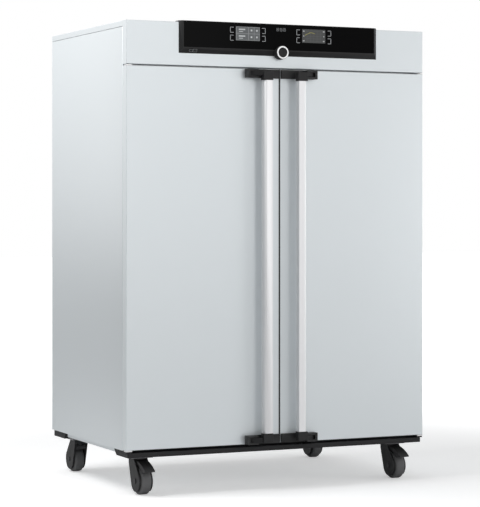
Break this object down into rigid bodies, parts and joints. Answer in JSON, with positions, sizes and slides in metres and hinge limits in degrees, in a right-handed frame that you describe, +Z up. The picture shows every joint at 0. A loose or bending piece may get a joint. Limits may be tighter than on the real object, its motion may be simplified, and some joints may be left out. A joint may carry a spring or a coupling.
{
  "type": "forced air laboratory oven",
  "caption": "Double-door forced air drying oven on swivel casters, with a heated chamber, wire shelves and a control panel.",
  "frame": {"origin": "on the floor, under the middle of the box round the whole object", "axes": "+Z up, the doors face -Y, +X to the right of someone who faces the doors"},
  "size_m": [1.224, 0.884, 1.7185],
  "materials": {
    "outer_steel": "fine textured, satin",
    "chamber_steel": "bright satin",
    "mineral_wool": "fibrous",
    "black_steel": "matt powder coat",
    "bright_steel": "bright",
    "black_plastic": "fine texture",
    "black_glass": "polished",
    "display": "polished",
    "knob_black": "satin",
    "circuit_board": "lacquered",
    "motor_metal": "matt",
    "heater_metal": "dull",
    "gasket_rubber": "matt silicone",
    "handle_aluminium": "satin anodised",
    "caster_steel": "zinc plated",
    "caster_plastic": "moulded",
    "grey_tyre": "matt"
  },
  "bodies": {
    "root": {"side_panel_left": "outer_steel", "side_panel_right": "outer_steel", "top_lid": "outer_steel", "rear_panel": "outer_steel", "fascia": "outer_steel", "base_pan": "outer_steel", "front_frame": "chamber_steel", "chamber_liner": "chamber_steel", "fan_baffle": "chamber_steel", "cabinet_insulation": "mineral_wool", "base_rails": "black_steel", "hinge_pins": "bright_steel", "panel_housing": "black_plastic", "panel_glass": "black_glass", "display_windows": "display", "control_board": "circuit_board", "fan_motor": "motor_metal", "heating_elements": "heater_metal", "temperature_sensor": "bright_steel", "exhaust_pipe": "chamber_steel", "mains_gland": "black_plastic", "caster_plates": "caster_steel"},
    "knob_stem": {"knob_shaft": "bright_steel"},
    "knob": {"control_knob": "knob_black"},
    "power_button": {"power_button": "black_plastic"},
    "fan": {"fan_impeller": "chamber_steel"},
    "exhaust_flap": {"exhaust_flap": "chamber_steel"},
    "upper_shelf": {"upper_shelf": "chamber_steel"},
    "lower_shelf": {"lower_shelf": "chamber_steel"},
    "right_door": {"right_door_skin": "outer_steel", "right_door_inner_panel": "chamber_steel", "right_door_insulation": "mineral_wool", "right_door_gasket": "gasket_rubber", "right_door_hinges": "bright_steel", "right_handle_brackets": "black_plastic"},
    "right_handle": {"right_handle_bar": "handle_aluminium", "right_handle_ends": "black_plastic"},
    "left_door": {"left_door_skin": "outer_steel", "left_door_inner_panel": "chamber_steel", "left_door_insulation": "mineral_wool", "left_door_gasket": "gasket_rubber", "left_door_hinges": "bright_steel", "left_handle_brackets": "black_plastic"},
    "left_handle": {"left_handle_bar": "handle_aluminium", "left_handle_ends": "black_plastic"},
    "front_left_caster": {"front_left_fork": "caster_plastic"},
    "front_left_wheel": {"front_left_hub": "caster_plastic", "front_left_tyre": "grey_tyre"},
    "rear_left_caster": {"rear_left_fork": "caster_plastic"},
    "rear_left_wheel": {"rear_left_hub": "caster_plastic", "rear_left_tyre": "grey_tyre"},
    "front_right_caster": {"front_right_fork": "caster_plastic"},
    "front_right_wheel": {"front_right_hub": "caster_plastic", "front_right_tyre": "grey_tyre"},
    "rear_right_caster": {"rear_right_fork": "caster_plastic"},
    "rear_right_wheel": {"rear_right_hub": "caster_plastic", "rear_right_tyre": "grey_tyre"},
    "front_left_pedal": {"front_left_pedal": "caster_plastic"},
    "front_right_pedal": {"front_right_pedal": "caster_plastic"}
  },
  "joints": [
    {"name": "right_door_hinge", "type": "hinge", "parent": "root", "child": "right_door", "pos_m": [0.602, -0.376, 0.86], "axis": [0, 0, 1], "range_deg": [0, 120]},
    {"name": "right_handle_swing", "type": "hinge", "parent": "right_door", "child": "right_handle", "pos_m": [0.121, -0.406, 0.86], "axis": [0, 0, 1], "range_deg": [0, 35]},
    {"name": "left_door_hinge", "type": "hinge", "parent": "root", "child": "left_door", "pos_m": [-0.602, -0.376, 0.86], "axis": [0, 0, -1], "range_deg": [0, 120]},
    {"name": "left_handle_swing", "type": "hinge", "parent": "left_door", "child": "left_handle", "pos_m": [-0.121, -0.406, 0.86], "axis": [0, 0, -1], "range_deg": [0, 35]},
    {"name": "knob_press", "type": "slide", "parent": "root", "child": "knob_stem", "axis": [0, 1, 0], "range_m": [0, 0.0015], "stiffness_N_per_m": 2500},
    {"name": "knob_turn", "type": "hinge", "parent": "knob_stem", "child": "knob", "pos_m": [0, -0.41, 1.613], "axis": [0, 1, 0], "continuous": true},
    {"name": "power_button_press", "type": "slide", "parent": "root", "child": "power_button", "axis": [0, 0.8575, 0.5145], "range_m": [0, 0.0012], "stiffness_N_per_m": 1500},
    {"name": "fan_spin", "type": "hinge", "parent": "root", "child": "fan", "pos_m": [0, 0.27, 0.8603], "axis": [0, 1, 0], "continuous": true},
    {"name": "exhaust_flap_turn", "type": "hinge", "parent": "root", "child": "exhaust_flap", "pos_m": [0.33, 0.336, 1.3503], "axis": [0, 0, 1], "range_deg": [0, 90]},
    {"name": "upper_shelf_slide", "type": "slide", "parent": "root", "child": "upper_shelf", "axis": [0, -1, 0], "range_m": [0, 0.015]},
    {"name": "lower_shelf_slide", "type": "slide", "parent": "root", "child": "lower_shelf", "axis": [0, -1, 0], "range_m": [0, 0.015]},
    {"name": "front_left_swivel", "type": "hinge", "parent": "root", "child": "front_left_caster", "pos_m": [-0.525, -0.285, 0.12], "axis": [0, 0, 1], "continuous": true},
    {"name": "front_left_roll", "type": "hinge", "parent": "front_left_caster", "child": "front_left_wheel", "pos_m": [-0.525, -0.323, 0.05], "axis": [1, 0, 0], "continuous": true},
    {"name": "rear_left_swivel", "type": "hinge", "parent": "root", "child": "rear_left_caster", "pos_m": [-0.525, 0.324, 0.12], "axis": [0, 0, 1], "continuous": true},
    {"name": "rear_left_roll", "type": "hinge", "parent": "rear_left_caster", "child": "rear_left_wheel", "pos_m": [-0.525, 0.362, 0.05], "axis": [1, 0, 0], "continuous": true},
    {"name": "front_left_brake", "type": "hinge", "parent": "front_left_caster", "child": "front_left_pedal", "pos_m": [-0.525, -0.317, 0.112], "axis": [1, 0, 0], "range_deg": [0, 8]},
    {"name": "front_right_swivel", "type": "hinge", "parent": "root", "child": "front_right_caster", "pos_m": [0.525, -0.285, 0.12], "axis": [0, 0, 1], "continuous": true},
    {"name": "front_right_roll", "type": "hinge", "parent": "front_right_caster", "child": "front_right_wheel", "pos_m": [0.525, -0.323, 0.05], "axis": [1, 0, 0], "continuous": true},
    {"name": "rear_right_swivel", "type": "hinge", "parent": "root", "child": "rear_right_caster", "pos_m": [0.525, 0.324, 0.12], "axis": [0, 0, 1], "continuous": true},
    {"name": "rear_right_roll", "type": "hinge", "parent": "rear_right_caster", "child": "rear_right_wheel", "pos_m": [0.525, 0.362, 0.05], "axis": [1, 0, 0], "continuous": true},
    {"name": "front_right_brake", "type": "hinge", "parent": "front_right_caster", "child": "front_right_pedal", "pos_m": [0.525, -0.317, 0.112], "axis": [1, 0, 0], "range_deg": [0, 8]}
  ]
}
